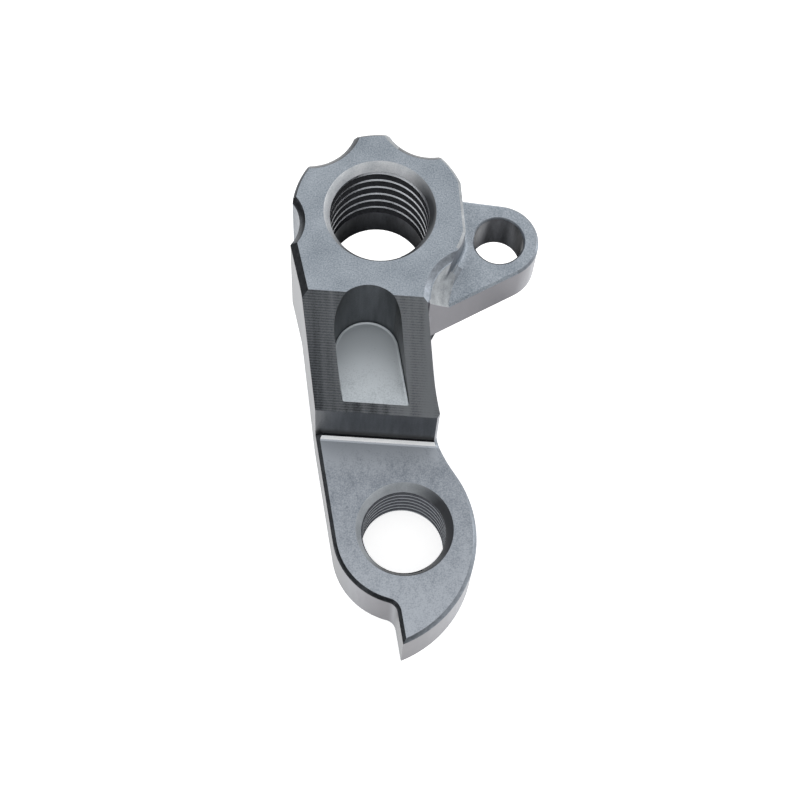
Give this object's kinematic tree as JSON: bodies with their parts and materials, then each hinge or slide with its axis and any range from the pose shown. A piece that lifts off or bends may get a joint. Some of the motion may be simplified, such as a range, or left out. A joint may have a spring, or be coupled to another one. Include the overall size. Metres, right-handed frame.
{
  "type": "bicycle derailleur hanger",
  "caption": "Machined derailleur hanger: thick scalloped boss with an axle thread, bolted ear, sloping arm with a pocket, and a lower plate with a threaded hole and a hooked stop.",
  "frame": {"origin": "on the axle thread's axis, at the head's back face", "axes": "+Z along the axle thread, out of the head's upper face on the wheel's side; -Y towards the derailleur bolt's hole; +X towards the ear"},
  "size_m": [0.0261, 0.0505, 0.0243],
  "materials": {
    "machined_aluminium": "fine blasted satin grey on the level faces, bare tool-marked metal on the slopes and walls"
  },
  "bodies": {
    "root": {"hanger": "machined_aluminium"}
  },
  "joints": []
}
